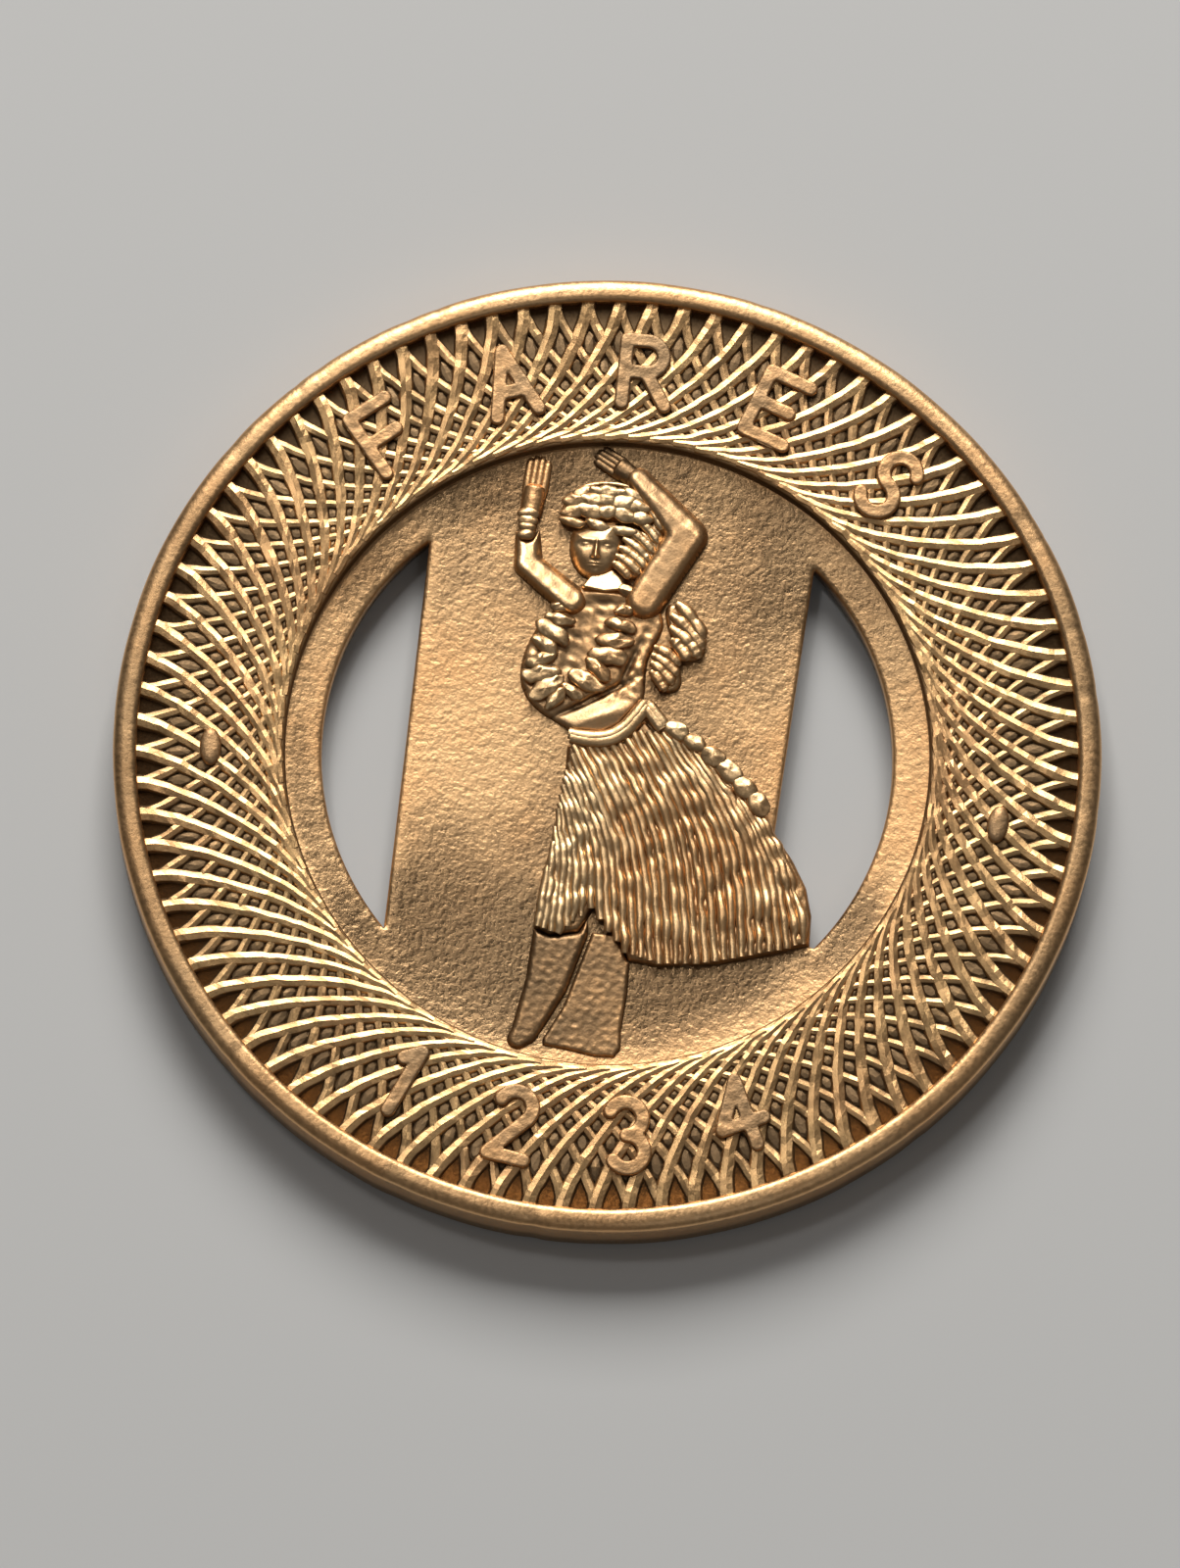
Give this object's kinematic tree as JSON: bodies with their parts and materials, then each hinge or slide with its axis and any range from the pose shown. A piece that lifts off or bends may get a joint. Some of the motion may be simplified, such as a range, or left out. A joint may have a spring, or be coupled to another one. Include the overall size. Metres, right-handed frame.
{
  "type": "transit token",
  "caption": "Round brass fare token with a raised rim, a ridged ring, a sunk field pierced by two openings, and a dancer in relief on the bar between them.",
  "frame": {"origin": "centre of the back face, on the plane that the back of the rim rests on", "axes": "+Z out of the front face, +Y towards the top of the legend, +X to the right as the front is read"},
  "size_m": [0.023, 0.023, 0.0016],
  "materials": {
    "rim_brass": "rubbed bright by handling",
    "ridge_brass": "bright crests over dark toned valleys",
    "field_brass": "brown toned, fine grained",
    "legend_brass": "flat, matt",
    "figure_brass": "bright high points over toned hollows"
  },
  "bodies": {
    "root": {"back_ridge_band": "ridge_brass", "center_plate": "field_brass", "dancer_face": "figure_brass", "dancer_hair": "figure_brass", "dancer_head": "figure_brass", "dancer_torso": "figure_brass", "digit_four": "legend_brass", "digit_one": "legend_brass", "digit_three": "legend_brass", "digit_two": "legend_brass", "field_ledge": "field_brass", "flower_headband": "figure_brass", "front_leg": "figure_brass", "front_ridge_band": "ridge_brass", "hair_tail": "figure_brass", "hip_beads": "figure_brass", "leaf_skirt": "figure_brass", "letter_a": "legend_brass", "letter_e": "legend_brass", "letter_f": "legend_brass", "letter_r": "legend_brass", "letter_s": "legend_brass", "neck_garland": "figure_brass", "open_arm": "figure_brass", "open_hand": "figure_brass", "raised_arm": "figure_brass", "raised_hand": "figure_brass", "rear_leg": "figure_brass", "ring_core": "ridge_brass", "separator_pellets": "legend_brass", "upset_rim": "rim_brass", "waistband": "figure_brass", "wrist_garland": "figure_brass"}
  },
  "joints": []
}
